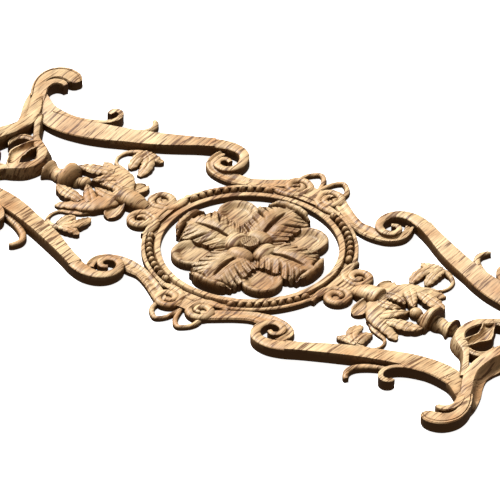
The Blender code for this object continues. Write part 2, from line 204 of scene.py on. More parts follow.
def scroll(centre, start, radii, halves, heights, turn=1, per_quarter=3):
    """Stations round a centre: outer radius, half width and height after each quarter turn."""
    quarters = [(i, *sizes) for i, sizes in enumerate(zip(radii, halves, heights))]
    stations = []
    for quarter, radius, half, height in blend(quarters, per_quarter):
        angle = math.radians(start + turn * 90.0 * quarter)
        reach = radius - half
        stations.append((centre[0] + reach * math.cos(angle),
                         centre[1] + reach * math.sin(angle), half, height))
    return stations


def swapped(stations):
    """The same stations with X and Y exchanged."""
    return [(y, x, *sizes) for x, y, *sizes in stations]


def rounded(edge, count=9):
    """A crowned section: edge is the share of the height left at its two sides."""
    angles = [math.pi * (i / (count - 1) - 0.5) for i in range(count)]
    return [(math.sin(a), edge + (1.0 - edge) * math.cos(a)) for a in angles]


def flat_band(ease=0.06, drop=0.1):
    """A flat section whose two upper edges are eased."""
    return [(-1.0, 1.0 - drop), (-1.0 + ease, 1.0), (-0.5, 1.0), (0.0, 1.0), (0.5, 1.0),
            (1.0 - ease, 1.0), (1.0, 1.0 - drop)]


# Sections of (place across, share of the height), from the right of the way to its left
BLADE = [(-1.0, 0.78), (-0.85, 0.91), (-0.55, 0.98), (-0.26, 1.0), (-0.1, 0.97), (0.0, 0.92),
         (0.1, 0.97), (0.26, 1.0), (0.55, 0.98), (0.85, 0.91), (1.0, 0.78)]
SHELVED = [(-1.0, 0.86), (-0.85, 0.98), (-0.5, 1.0), (0.1, 1.0), (0.32, 0.96), (0.5, 0.82),
           (0.76, 0.42), (1.0, 0.12)]
CUPPED = [(-1.0, 0.8), (-0.92, 1.0), (-0.78, 1.0), (-0.62, 0.8), (-0.3, 0.66), (0.0, 0.62),
          (0.3, 0.66), (0.62, 0.8), (0.78, 1.0), (0.92, 1.0), (1.0, 0.8)]
GROOVED = [(-1.0, 0.74), (-0.86, 0.96), (-0.62, 1.0), (-0.4, 0.9), (-0.2, 0.82), (0.0, 0.84),
           (0.25, 0.94), (0.5, 1.0), (0.8, 0.94), (1.0, 0.7)]
BORDERED = [(-1.0, 0.9), (-0.88, 1.0), (-0.7, 1.0), (-0.6, 0.92), (-0.5, 1.0), (0.0, 1.02),
            (0.5, 1.0), (0.86, 0.97), (1.0, 0.84)]
FLANKED = [(-1.0, 0.78), (-0.9, 0.94), (-0.7, 1.0), (-0.3, 1.0), (0.12, 1.0), (0.2, 0.94),
           (0.36, 0.68), (0.56, 0.44), (0.78, 0.3), (1.0, 0.24)]


def crinkle(travelled, across):
    """Unevenness of a carved leaf's face, in millimetres, stronger towards its edges."""
    return 0.5 * abs(across) * math.sin(0.85 * travelled + 2.6 * abs(across))


# Raw pieces of a quarter

def raw_collection():
    """The collection that holds a quarter's pieces until they are joined."""
    found = bpy.data.collections.get(QUARTER)
    if found is None:
        found = bpy.data.collections.new(QUARTER)
        bpy.context.scene.collection.children.link(found)
    return found


def keep_raw(name, bm):
    """Puts a finished bmesh, drawn in millimetres, among the pieces to be joined."""
    bmesh.ops.recalc_face_normals(bm, faces=bm.faces)
    bmesh.ops.scale(bm, vec=(MM, MM, MM), verts=bm.verts)
    mesh = bpy.data.meshes.new(name)
    bm.to_mesh(mesh)
    bm.free()
    raw_collection().objects.link(bpy.data.objects.new(name, mesh))


def strip(name, stations, section, lean=None, ripple=None):
    """Sweeps a section along stations of (x, y, half width, height) and keeps it as a raw piece.

    lean(share along, across) and ripple(distance along, across) give further factors of the
    height and millimetres added to it.
    """
    bm = bmesh.new()
    last = len(stations) - 1
    end_face = None
    travelled = 0.0
    for i, (x, y, half, height) in enumerate(stations):
        before = stations[max(i - 1, 0)]
        after = stations[min(i + 1, last)]
        along = Vector((after[0] - before[0], after[1] - before[1], 0.0)).normalized()
        left = Vector((-along.y, along.x, 0.0))
        if i:
            travelled += math.hypot(x - before[0], y - before[1])
        places = [Vector((x, y, -BACK_DEPTH)) - left * half]
        for across, share in section:
            rise = height * share
            if lean:
                rise *= lean(i / last, across)
            if ripple:
                rise += ripple(travelled, across)
            places.append(Vector((x, y, rise)) + left * half * across)
        places.append(Vector((x, y, -BACK_DEPTH)) + left * half)
        if end_face is None:
            end_face = bm.faces.new([bm.verts.new(place) for place in places])
            continue
        grown = bmesh.ops.extrude_face_region(bm, geom=[end_face])["geom"]
        if i > 1:
            bmesh.ops.delete(bm, geom=[end_face], context="FACES_ONLY")
        end_face = next(item for item in grown if isinstance(item, bmesh.types.BMFace))
        for vert, place in zip(end_face.verts, places):
            vert.co = place
    keep_raw(name, bm)


def plate(name, outline, height):
    """A flat piece with upright walls."""
    bm = bmesh.new()
    face = bm.faces.new([bm.verts.new((x, y, -BACK_DEPTH)) for x, y in outline])
    grown = bmesh.ops.extrude_face_region(bm, geom=[face])["geom"]
    top = [item for item in grown if isinstance(item, bmesh.types.BMVert)]
    bmesh.ops.translate(bm, vec=(0.0, 0.0, height + BACK_DEPTH), verts=top)
    keep_raw(name, bm)


def dome(name, centre, radii, base=0.0, sides=18, rings=12, turn=0.0):
    """A rounded lump: a sphere stretched to radii (x, y, z), its middle at height base."""
    bm = bmesh.new()
    bmesh.ops.create_uvsphere(bm, u_segments=sides, v_segments=rings, radius=1.0)
    bmesh.ops.rotate(bm, cent=(0, 0, 0), matrix=Matrix.Rotation(math.pi / sides, 3, "Z"),
                     verts=bm.verts)
    bmesh.ops.scale(bm, vec=radii, verts=bm.verts)
    bmesh.ops.rotate(bm, cent=(0, 0, 0), matrix=Matrix.Rotation(turn, 3, "Z"), verts=bm.verts)
    bmesh.ops.translate(bm, vec=(*centre, base), verts=bm.verts)
    keep_raw(name, bm)


def turned(name, profile, sides, axis="Z", closed=False):
    """A profile of (radius, height along the axis) turned into a solid."""
    bm = bmesh.new()
    verts = [bm.verts.new((radius, 0.0, height)) for radius, height in profile]
    edges = [bm.edges.new(pair) for pair in zip(verts, verts[1:])]
    if closed:
        edges.append(bm.edges.new((verts[-1], verts[0])))
    bmesh.ops.spin(bm, geom=verts + edges, cent=(0, 0, 0), axis=(0, 0, 1),
                   angle=2 * math.pi, steps=sides, use_merge=True)
    if not closed:
        bmesh.ops.holes_fill(bm, edges=bm.edges, sides=0)
    bmesh.ops.rotate(bm, cent=(0, 0, 0), matrix=Matrix.Rotation(math.pi / sides, 3, "Z"),
                     verts=bm.verts)
    if axis == "X":
        bmesh.ops.rotate(bm, cent=(0, 0, 0), matrix=Matrix.Rotation(math.pi / 2, 3, "Y"),
                         verts=bm.verts)
    keep_raw(name, bm)


# Ring, beads and what springs from it

class CARVING_OT_ring(bpy.types.Operator):
    """Turns the ring and sets its beads"""
    bl_idname = "carving.ring"
    bl_label = "Ring and Beads"

    def execute(self, context):
        sizes = context.scene.carving_sizes
        top = sizes.ring_height / MM
        groove = top * 0.45
        inner, step, beds, lip, outer = 108.0, 115.5, 117.0, 126.8, 131.5
        profile = (
            (inner, -BACK_DEPTH), (inner, top - 0.9), (inner + 0.7, top), (step - 0.8, top),
            (step, top - 0.7), (beds, groove), (lip - 0.6, groove + 0.4), (lip, top - 0.5),
            (lip + 0.6, top), (outer - 1.2, top), (outer, top - 1.0), (outer, -BACK_DEPTH))
        turned("ring", profile, sides=220, closed=True)
        circle, beads_top = 121.8, 13.5
        radius = sizes.bead_radius / MM
        rise = beads_top - groove
        start, end = math.radians(26.0), math.radians(64.0)
        pitch = (end - start) / sizes.bead_count
        for i in range(sizes.bead_count):
            angle = start + pitch * (i + 0.5)
            place = (circle * math.cos(angle), circle * math.sin(angle))
            dome("bead", place, (radius * 1.14, radius, rise), groove, turn=angle)
        long_half = 6.2
        beyond = (long_half + 0.2) / circle
        for angle in (start - beyond, end + beyond):
            place = (circle * math.cos(angle), circle * math.sin(angle))
            dome("long_bead", place, (radius * 1.1, long_half, rise - 0.4), groove, turn=angle)
        return {"FINISHED"}


class CARVING_OT_volutes(bpy.types.Operator):
    """Carves the scrolls round the ring, the loops and the stems"""
    bl_idname = "carving.volutes"
    bl_label = "Volutes, Loops and Stems"

    def execute(self, context):
        sizes = context.scene.carving_sizes
        span = sizes.steps_per_span
        top = sizes.scroll_height / MM
        lead = ((122.5, 50.0, 3.5, top - 1.0), (121.0, 36.0, 5.0, top - 0.5),
                (122.5, 22.0, 5.5, top), (129.0, 12.0, 5.2, top))
        centre = (142.5, 24.0)
        turns = scroll(centre, -90, (21.0, 18.0, 17.6, 16.4, 11.0, 5.6),
                       (5.0, 5.3, 5.4, 5.2, 4.2, 3.0), (top, top, top, top - 0.2, top - 0.4, top),
                       per_quarter=2 * span)
        stations = blend(lead, span) + turns[1:]
        ribbon = rounded(0.55, 11)
        strip("volute_x", stations, ribbon)
        strip("volute_y", swapped(stations), ribbon)
        ground = (centre[0] - 1.0, centre[1] + 0.5)
        for name, place in (("x", ground), ("y", ground[::-1])):
            dome("volute_ground_" + name, place, (14.5, 14.5, 5.2), sides=32, rings=10)
        plate("web_x", ((120.6, -6), (150, -6), (150, 8), (128, 15), (120.6, 28)), 7.4)
        plate("web_y", ((-6, 120.3), (28, 120.3), (15, 128), (8, 150), (-6, 150)), 7.7)
        loop = ((0.0, 151.0, 3.5, 6.5), (2.5, 161.0, 3.2, 6.3), (7.0, 173.0, 3.3, 6.0),
                (16.0, 181.0, 3.4, 6.0), (26.0, 174.0, 3.4, 6.0), (30.5, 166.0, 3.6, 6.2),
                (31.0, 157.0, 4.0, 6.3))
        strip("side_loop", blend(loop, span), rounded(0.5, 9))
        stem = ((28.0, 150.0, 8.0, 7.0), (44.0, 137.0, 9.0, 7.6), (62.0, 125.0, 8.5, 7.6),
                (80.0, 115.5, 9.0, 7.6), (97.0, 112.5, 11.0, 8.0), (112.0, 110.5, 9.5, 8.5),
                (127.0, 113.0, 8.0, 8.5), (137.0, 122.0, 7.0, 9.0), (139.0, 134.0, 6.0, 10.0),
                (136.0, 145.0, 6.0, 10.5))
        strip("stem", blend(stem, span), GROOVED)
        return {"FINISHED"}


# Broad bands and the ends

class CARVING_OT_bands(bpy.types.Operator):
    """Carves the broad bands with their scrolls and curls"""
    bl_idname = "carving.bands"
    bl_label = "Bands, Hooks and Curls"

    def execute(self, context):
        sizes = context.scene.carving_sizes
        span = sizes.steps_per_span
        top = sizes.band_height / MM
        curled = ((168.0, 144.2, 9.0, top - 0.2), (150.0, 153.5, 9.1, top - 0.2),
                  (133.0, 158.5, 8.5, 15.2), (117.0, 157.0, 7.2, 14.8), (106.5, 148.5, 6.2, 14.3),
                  (102.5, 135.0, 5.5, 13.8), (106.0, 123.0, 5.0, 13.3), (116.0, 116.5, 4.8, 13.0),
                  (127.0, 119.5, 4.5, 12.6), (130.5, 129.0, 4.0, 12.3), (124.5, 136.0, 3.6, 12.0),
                  (117.0, 133.5, 3.2, 12.0))
        strip("band_scroll", blend(curled, span), rounded(0.86, 11))
        run = ((152.0, 152.5, 9.3, top), (170.0, 143.2, 9.2, top), (190.0, 132.3, 10.6, top),
               (210.0, 122.0, 11.9, top), (230.0, 113.0, 12.4, top), (250.0, 105.3, 12.8, top),
               (275.0, 95.8, 14.6, top), (300.0, 89.4, 16.2, top - 0.2), (328.0, 86.4, 16.8, 14.8),
               (352.0, 90.5, 16.0, 14.6), (367.0, 99.5, 13.0, 14.4), (379.0, 112.5, 9.5, 14.0),
               (385.0, 122.5, 5.2, 13.2))
        strip("band", blend(run, span), flat_band(),
              lean=lambda along, across: 1.0 - 0.42 * along * (1.0 - across) / 2)
        first = ((282.0, 111.0, 4.0, 9.0), (266.0, 116.0, 4.5, 9.0), (251.0, 124.0, 4.7, 9.0),
                 (240.0, 134.0, 4.5, 9.0), (236.5, 145.0, 4.2, 9.0), (240.5, 155.0, 3.8, 8.5),
                 (244.5, 158.5, 2.6, 8.0))
        second = ((352.0, 98.0, 2.0, 14.0), (330.0, 99.2, 2.8, 14.4), (312.0, 102.0, 3.0, 14.8),
                  (296.0, 107.0, 3.0, top), (284.0, 115.0, 3.0, top), (277.5, 127.0, 3.0, top - 0.2),
                  (280.0, 138.5, 3.2, top - 0.6), (287.0, 142.5, 3.8, top - 1.2),
                  (293.0, 139.5, 4.2, top - 2.2), (294.5, 133.5, 3.0, top - 3.4))
        strip("low_curl", blend(first, span), rounded(0.6, 9))
        strip("high_curl", blend(second, span), flat_band(0.2, 0.04))
        return {"FINISHED"}


class CARVING_OT_ends(bpy.types.Operator):
    """Carves the hooks and the upright end members"""
    bl_idname = "carving.ends"
    bl_label = "Hooks and End Members"

    def execute(self, context):
        sizes = context.scene.carving_sizes
        span = sizes.steps_per_span
        crest = sizes.crest_height / MM
        top = crest - 1.5
        outer = ((387.0, 112.0, 7.4, top), (395.5, 128.0, 7.6, top + 0.6), (400.5, 145.0, 7.6, 15.6),
                 (398.5, 160.0, 9.2, 15.4), (389.5, 170.5, 11.2, 15.2), (377.5, 173.0, 11.8, 14.4),
                 (369.0, 170.5, 9.8, 13.2), (364.6, 168.6, 7.0, 12.4), (362.6, 167.6, 3.4, 12.0))
        strip("hook", blend(outer, span), BORDERED)
        lip = ((376.0, 106.0, 3.4, 12.6), (381.5, 116.0, 5.0, 14.6), (386.8, 128.0, 5.4, 16.0),
               (388.2, 140.0, 5.2, 16.2), (384.0, 149.5, 5.2, 16.0), (376.0, 153.0, 4.8, 15.4),
               (369.5, 151.0, 3.4, 14.4))
        strip("hook_lip", blend(lip, span), flat_band(0.2, 0.1))
        member = ((399.5, 142.0, 6.5, 12.0), (394.0, 124.0, 10.5, top - 0.2),
                  (385.0, 102.0, 12.5, crest - 0.4), (376.0, 84.0, 13.0, crest),
                  (370.0, 66.0, 13.2, crest + 0.4), (370.5, 50.0, 14.0, crest + 1.8),
                  (374.5, 34.0, 15.4, crest + 3.8), (383.0, 16.0, 17.4, crest + 5.0),
                  (389.0, 2.0, 19.0, crest + 5.4), (391.0, -6.0, 19.4, crest + 5.4))
        strip("end_member", blend(member, span), FLANKED)
        return {"FINISHED"}


# Foliage

class CARVING_OT_foliage(bpy.types.Operator):
    """Carves the husk, the leaf cluster, the tendril and its small leaf"""
    bl_idname = "carving.foliage"
    bl_label = "Husk, Leaves and Tendril"

    def execute(self, context):
        span = context.scene.carving_sizes.steps_per_span
        bell = ((150.0, 0.0, 7.5, 9.0), (156.0, 0.0, 10.4, 13.4), (164.0, 0.0, 12.8, 17.0),
                (172.0, 0.0, 13.8, 18.8), (180.0, 0.0, 14.4, 19.6), (185.0, 0.0, 15.2, 20.0),
                (188.0, 0.0, 14.8, 19.0), (190.5, 0.0, 12.4, 14.0), (198.0, 0.0, 12.0, 12.0))
        strip("husk", blend(bell, span), rounded(0.5, 12))
        petal = ((184.0, 8.0, 9.5, 13.0), (181.5, 19.0, 11.0, 10.6), (179.5, 29.0, 11.2, 8.4),
                 (178.8, 36.0, 9.4, 7.0), (178.5, 40.0, 6.4, 6.2), (178.4, 42.5, 2.2, 5.6))
        strip("husk_petal", blend(petal, span), CUPPED)
        blade = ((187.0, 8.0, 9.5, 12.0), (198.0, 23.5, 13.0, 13.0), (209.5, 35.0, 14.0, 12.0),
                 (222.0, 42.5, 10.0, 9.5), (233.0, 47.5, 7.4, 7.4), (241.0, 51.0, 6.0, 5.8),
                 (246.0, 53.5, 3.8, 4.8), (248.0, 54.5, 1.6, 4.4))
        tongue = ((208.0, 33.0, 9.0, 12.4), (217.0, 23.5, 8.4, 13.0), (225.0, 14.5, 6.4, 12.8),
                  (230.5, 8.5, 3.6, 12.2), (233.5, 5.0, 1.0, 11.6))
        side_lobe = ((222.0, 36.0, 6.0, 10.8), (231.0, 33.0, 7.8, 11.8), (241.0, 31.0, 9.4, 11.4),
                     (251.0, 28.5, 8.6, 10.8), (259.0, 26.0, 6.0, 10.4), (265.0, 23.5, 1.4, 9.8))
        inner_lobe = ((188.0, 8.0, 8.0, 12.0), (197.0, 10.5, 8.6, 13.4), (206.0, 10.5, 7.8, 14.0),
                      (213.5, 8.5, 5.8, 13.4), (219.0, 6.0, 3.0, 12.4), (221.5, 5.0, 1.0, 11.8))
        stations = blend(blade, span)
        strip("cluster_blade", scalloped(stations, 13.0, 1.8), rounded(0.66, 13), ripple=crinkle)
        for name, lobe, pitch in (("cluster_tongue", tongue, 9.0),
                                  ("cluster_side_lobe", side_lobe, 11.0),
                                  ("cluster_inner_lobe", inner_lobe, 8.0)):
            strip(name, scalloped(blend(lobe, span), pitch, 1.2), BLADE, ripple=crinkle)
        line = ((203.0, 42.0, 4.0, 6.5), (212.0, 50.5, 4.2, 5.2), (224.0, 56.5, 3.4, 4.6),
                (235.5, 61.5, 2.5, 4.4), (240.5, 73.5, 2.4, 4.5),
                (237.0, 86.0, 3.0, 5.4), (227.5, 92.5, 3.8, 7.2), (217.0, 94.0, 4.8, 9.0),
                (209.0, 93.0, 5.4, 9.6))
        strip("tendril", blend(line, span), rounded(0.5, 7))
        leaflets = (
            ((216.0, 94.5, 4.5, 9.6), (206.0, 92.5, 6.2, 10.0), (196.0, 91.0, 6.2, 9.0),
             (190.5, 92.0, 4.4, 7.6), (187.0, 93.0, 1.6, 6.6)),
            ((212.0, 92.0, 5.6, 10.0), (203.5, 84.0, 7.6, 10.4), (198.0, 73.0, 7.8, 9.6),
             (196.8, 62.5, 6.6, 7.0), (197.5, 53.5, 2.8, 4.0)),
            ((217.0, 93.0, 5.6, 9.6), (215.8, 84.0, 7.2, 10.4), (215.0, 74.5, 7.4, 9.8),
             (215.0, 66.5, 6.2, 7.0), (215.0, 60.0, 2.6, 4.0)))
        for leaflet in leaflets:
            strip("small_leaf_lobe", scalloped(blend(leaflet, span), 8.0, 0.8), BLADE,
                  ripple=crinkle)
        return {"FINISHED"}


class CARVING_OT_finial(bpy.types.Operator):
    """Turns the finial on the long axis and carves the calyx beyond it"""
    bl_idname = "carving.finial"
    bl_label = "Finial and Calyx"

    def execute(self, context):
        span = context.scene.carving_sizes.steps_per_span
        profile = (
            (5.0, 243.0), (8.0, 246.6), (9.6, 248.4), (10.0, 250.4), (9.4, 252.2),
            (14.0, 253.6), (18.4, 255.8), (21.4, 258.8), (23.3, 262.0), (24.0, 265.2),
            (23.6, 267.0), (21.6, 268.2), (14.0, 267.8), (12.0, 269.0), (12.8, 271.5),
            (13.0, 274.5), (12.2, 277.5), (10.8, 280.5), (11.2, 284.0), (13.0, 287.5),
            (15.6, 290.3), (17.2, 292.2), (17.4, 293.4), (16.6, 294.2), (11.0, 293.8),
            (9.0, 295.5), (8.5, 300.0), (8.2, 309.0))
        turned("finial", profile, sides=56, axis="X")
        dome("finial_ball", (240.3, 0.0), (9.0, 9.0, 8.8), base=5.8, sides=36, rings=14)
        outer = ((305.5, -4.0, 8.0, 13.6), (307.5, 9.0, 8.6, 14.6), (314.0, 21.5, 9.4, 15.4),
                 (324.0, 29.5, 9.2, 15.6), (334.0, 37.5, 6.8, 15.0), (341.0, 47.0, 5.6, 14.4),
                 (347.5, 58.0, 5.8, 14.4), (355.0, 71.0, 6.6, 14.6), (361.0, 83.0, 7.0, 14.6))
        strip("calyx_scroll", blend(outer, span), SHELVED)
        leaf = ((324.0, 30.0, 7.0, 15.6), (330.0, 23.0, 8.4, 16.4), (334.5, 12.5, 8.6, 16.2),
                (337.5, 3.5, 10.5, 14.6), (338.5, -4.0, 11.5, 13.6))
        strip("calyx_leaf", blend(leaf, span), CUPPED)
        ear = ((330.0, 31.0, 5.0, 14.2), (342.0, 34.5, 5.0, 14.4), (352.0, 33.0, 5.2, 14.2),
               (358.5, 26.0, 4.6, 13.6), (360.0, 16.5, 3.2, 13.0), (357.5, 9.0, 1.2, 12.0))
        strip("calyx_ear", blend(ear, span), BLADE)
        return {"FINISHED"}


def smooth_with_edges(mesh, angle):
    """Shades a mesh smooth, but for the edges where its faces turn by more than the angle."""
    mesh.shade_smooth()
    mesh.set_sharp_from_angle(angle=angle)


class CARVING_OT_frame(bpy.types.Operator):
    """Joins a quarter's pieces, planes their back flat and mirrors them into the whole frame"""
    bl_idname = "carving.frame"
    bl_label = "Join and Mirror the Frame"

    def execute(self, context):
        pieces = list(raw_collection().objects)
        if not pieces:
            raise RuntimeError("the frame has no pieces to join yet")
        body = pieces[0]
        raw_collection().objects.unlink(body)
        context.scene.collection.objects.link(body)
        margin = 0.05
        reach = FRAME_BOX[1].x + margin
        bm = bmesh.new()
        bmesh.ops.create_cube(bm, size=2.0)
        bmesh.ops.scale(bm, vec=(reach, reach, reach), verts=bm.verts)
        bmesh.ops.translate(bm, vec=(0.0, 0.0, -reach), verts=bm.verts)
        mesh = bpy.data.meshes.new("underside")
        bm.to_mesh(mesh)
        bm.free()
        underside = bpy.data.objects.new("underside", mesh)
        context.scene.collection.objects.link(underside)
        joined = body.modifiers.new("join the pieces", "BOOLEAN")
        joined.operation = "UNION"
        joined.solver = "MANIFOLD"
        joined.operand_type = "COLLECTION"
        joined.collection = raw_collection()
        planed = body.modifiers.new("plane the back", "BOOLEAN")
        planed.operation = "DIFFERENCE"
        planed.solver = "MANIFOLD"
        planed.object = underside
        mirrored = body.modifiers.new("mirror the quarter", "MIRROR")
        mirrored.use_axis = (True, True, False)
        mirrored.use_bisect_axis = (True, True, False)
        mirrored.bisect_threshold = 0.00001
        mirrored.merge_threshold = 0.00002
        context.view_layer.update()
        evaluated = body.evaluated_get(context.evaluated_depsgraph_get())
        carved = bpy.data.meshes.new_from_object(evaluated)
        carved.name = "carved_frame"
        for piece in pieces + [underside]:
            bpy.data.objects.remove(piece, do_unlink=True)
        bpy.data.collections.remove(raw_collection())
        smooth_with_edges(carved, FRAME_CRISP)
        carved.materials.clear()
        carved.materials.append(carved_wood("pale_carved_wood", context.scene.wood_looks, 1.0))
        whole = bpy.data.objects.new("carved_frame", carved)
        context.scene.collection.objects.link(whole)
        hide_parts("scroll_frame")
        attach(whole, "root")
        return {"FINISHED"}


# Rosette

# Plan sizes in millimetres. The first two are a leaf's half width and height along its rib
LEAF_WIDTH = ((0.0, 8.0), (20.0, 20.5), (32.0, 31.0), (45.0, 29.5), (58.0, 31.5), (74.0, 34.0),
              (86.0, 29.5), (93.0, 21.0), (98.0, 11.0))
LEAF_RISE = ((0.0, 8.0), (24.0, 9.4), (34.0, 12.4), (48.0, 15.0), (62.0, 15.4), (74.0, 14.2),
             (84.0, 12.8), (98.0, 11.0))
FINGER_PITCH = 10.0
FINGER_BEND = 6.0
RIB_START = 22.0
RIB_LENGTH = 58.0
ROLL_CENTRE = 93.4
ROLL_RADIUS = 4.6
ROLL_HALF_WIDTH = 27.0
PETAL_CENTRE = 71.0
PETAL_RADIUS = 26.0
LOBE_CENTRE = 20.8
LOBE_HALF_LENGTH = 12.6
LOBE_HALF_WIDTH = 18.0
BUTTON_RADIUS = 12.4
GROUND_HEIGHT = 4.0


def along_profile(profile, place):
    """The value at a place on a smooth curve through (place, value) pairs."""
    last = len(profile) - 1
    if place <= profile[0][0]:
        return profile[0][1]
    for i in range(last):
        if place <= profile[i + 1][0]:
            t = (place - profile[i][0]) / (profile[i + 1][0] - profile[i][0])
            t = t * t * (3.0 - 2.0 * t)
            return profile[i][1] + (profile[i + 1][1] - profile[i][1]) * t
    return profile[last][1]


def finger_phase(u, v):
    """Counts a leaf's fingers outwards. Its lines leave the rib and bend towards the edge."""
    start = u - FINGER_BEND * math.sqrt(v)
    return (start + 2.4 * math.sin(start / 9.0)) / FINGER_PITCH


def finger_size(phase):
    """Share by which a finger differs from its neighbours."""
    return 0.72 + 0.28 * math.sin(2.3 * math.floor(phase + 0.5) + 0.8)


def leaf_edge(u):
    """Half width of a leaf, with its fingers' tips and the notches between them."""
    width = along_profile(LEAF_WIDTH, u)
    phase = finger_phase(u, width)
    notch = abs(2.0 * (phase % 1.0) - 1.0) ** 2.5
    growth = min(1.0, max(0.0, (u - 18.0) / 12.0))
    return width + (1.6 - 5.0 * notch * finger_size(phase)) * growth


def leaf_height(u, v):
    """Height of a leaf at u along its rib and v across it."""
    width = along_profile(LEAF_WIDTH, u)
    share = min(v / width, 1.1)
    phase = finger_phase(u, v)
    height = along_profile(LEAF_RISE, u)
    height += 2.0 * math.exp(-((share - 0.36) / 0.24) ** 2) - 1.6 * share ** 3
    height += 0.9 * math.sin(2.0 * math.pi * phase / 2.7) * share
    # A deep groove follows the rib, open in the middle of its length
    if RIB_START < u < RIB_START + RIB_LENGTH:
        open_share = math.sin(math.pi * (u - RIB_START) / RIB_LENGTH)
        height -= 5.6 * open_share ** 0.6 * math.exp(-(v / (1.2 + 1.5 * open_share)) ** 4)
    # Slits part the fingers and fade towards the rib, and a vein runs along each finger
    slit = abs(2.0 * (phase % 1.0) - 1.0)
    outer = min(1.0, max(0.0, (share - 0.3) / 0.6))
    depth = 3.0 + 6.0 * min(1.0, max(0.0, (u - 34.0) / 22.0))
    height -= (depth * finger_size(phase) * outer ** 1.2 + 0.6 * share) * slit ** 4
    height -= 1.1 * outer * (1.0 - slit) ** 4
    # The tip rises to a crest and rolls over, with a hollow behind it on each side of the rib
    centre = ROLL_CENTRE - 0.006 * v * v
    beside = min(1.0, max(0.0, (v - 5.0) / 5.0))
    height -= 5.5 * beside * math.exp(-((u - centre + 5.8) / 2.2) ** 2)
    from_roll = (u - centre) / ROLL_RADIUS
    if abs(from_roll) < 1.0 and v < ROLL_HALF_WIDTH:
        roll = 12.0 + 6.0 * math.sqrt(1.0 - from_roll ** 2) - 0.02 * max(0.0, v - 11.0) ** 2
        height = max(height, roll - 0.8 * math.sin(0.3 * v + 0.4) ** 2)
    return height


def petal_height(outward, sideways):
    """Height of a dished petal, outward and sideways of its middle. Its rim is on the outside."""
    distance = math.hypot(outward, sideways)
    rim = min(1.0, max(0.0, (outward + 12.0) / 10.0))
    lift = min(1.0, max(0.0, (distance - 12.0) / 10.0))
    height = 6.4 + 5.2 * lift * lift * (3.0 - 2.0 * lift) * rim
    return height - max(0.0, distance - 23.5) ** 2 * 0.3


def rosette_height(x, y, button_top):
    """Height of the rosette's surface over a place in millimetres."""
    u, v = max(abs(x), abs(y)), min(abs(x), abs(y))
    radius = math.hypot(u, v)
    height = GROUND_HEIGHT
    outward = (u + v) * math.sqrt(0.5) - PETAL_CENTRE
    sideways = (u - v) * math.sqrt(0.5)
    if math.hypot(outward, sideways) < PETAL_RADIUS + 0.5:
        height = petal_height(outward, sideways)
    if v < leaf_edge(u):
        height = max(height, leaf_height(u, v))
    for along, across in ((u - LOBE_CENTRE, v), (v - LOBE_CENTRE, u)):
        spread = (along / LOBE_HALF_LENGTH) ** 2 + (across / LOBE_HALF_WIDTH) ** 2
        if spread < 1.0:
            height = max(height, 7.6 + 9.0 * math.sqrt(1.0 - spread))
    if radius < BUTTON_RADIUS:
        rim = math.exp(-((radius - 10.6) / 1.2) ** 2)
        stipple = math.sin(x * 1.75) * math.sin(y * 1.75 + 0.6 * math.sin(x * 0.9))
        button = button_top - 1.6 + 1.4 * rim + 0.7 * stipple * (1.0 - rim)
        height = max(height, button - max(0.0, radius - 11.4) * 5.0)
    return height


def rosette_reach(angle, farthest):
    """How far the rosette's outline lies from its centre in a direction."""
    step = 0.25
    nearest = 60.0
    reach = farthest
    while reach > nearest:
        x, y = abs(reach * math.cos(angle)), abs(reach * math.sin(angle))
        u, v = max(x, y), min(x, y)
        away = math.hypot((u + v) * math.sqrt(0.5) - PETAL_CENTRE, (u - v) * math.sqrt(0.5))
        if away < PETAL_RADIUS or (u < farthest - 0.1 and v < leaf_edge(u)):
            break
        reach -= step
    return reach


class CARVING_OT_rosette(bpy.types.Operator):
    """Carves the rosette: button, lobes, four leaves and four dished petals"""
    bl_idname = "carving.rosette"
    bl_label = "Rosette"

    def execute(self, context):
        sizes = context.scene.carving_sizes
        farthest = sizes.rosette_radius / MM
        button_top = sizes.button_height / MM
        around, rings = 720, 118
        hole = 0.4
        bm = bmesh.new()
        line = [bm.verts.new(((i + hole) / (rings + hole), 0.0, 0.0)) for i in range(rings + 1)]
        edges = [bm.edges.new(pair) for pair in zip(line, line[1:])]
        bmesh.ops.spin(bm, geom=line + edges, cent=(0, 0, 0), axis=(0, 0, 1),
                       angle=2 * math.pi, steps=around, use_merge=True)
        bmesh.ops.rotate(bm, cent=(0, 0, 0), matrix=Matrix.Rotation(math.pi / around, 3, "Z"),
                         verts=bm.verts)
        rim = [edge for edge in bm.edges if edge.is_boundary
               and all(vert.co.length > 0.9 for vert in edge.verts)]
        eased, inward = 0.5, 0.999
        reaches = {}
        for vert in bm.verts:
            angle = math.atan2(vert.co.y, vert.co.x)
            share = vert.co.length
            key = round(angle * around / (2 * math.pi), 1)
            if key not in reaches:
                reaches[key] = rosette_reach(angle, farthest + 0.3)
            reach = min(share * reaches[key], farthest)
            x, y = reach * math.cos(angle), reach * math.sin(angle)
            height = rosette_height(x * inward, y * inward, button_top)
            if share > 0.985:
                height -= eased
            vert.co = (x, y, height)
        walls = bmesh.ops.extrude_edge_only(bm, edges=rim)["geom"]
        foot = [item for item in walls if isinstance(item, bmesh.types.BMVert)]
        for vert in foot:
            vert.co.z = 0.0
        bmesh.ops.holes_fill(bm, edges=bm.edges, sides=0)
        bmesh.ops.recalc_face_normals(bm, faces=bm.faces)
        bmesh.ops.scale(bm, vec=(MM, MM, MM), verts=bm.verts)
        mesh = bpy.data.meshes.new("carved_rosette")
        bm.to_mesh(mesh)
        bm.free()
        smooth_with_edges(mesh, ROSETTE_CRISP)
        mesh.materials.append(carved_wood("warm_carved_wood", context.scene.wood_looks, 0.8))
        rosette = bpy.data.objects.new("carved_rosette", mesh)
        context.scene.collection.objects.link(rosette)
        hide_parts("rosette")
        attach(rosette, "root")
        return {"FINISHED"}


# Wood

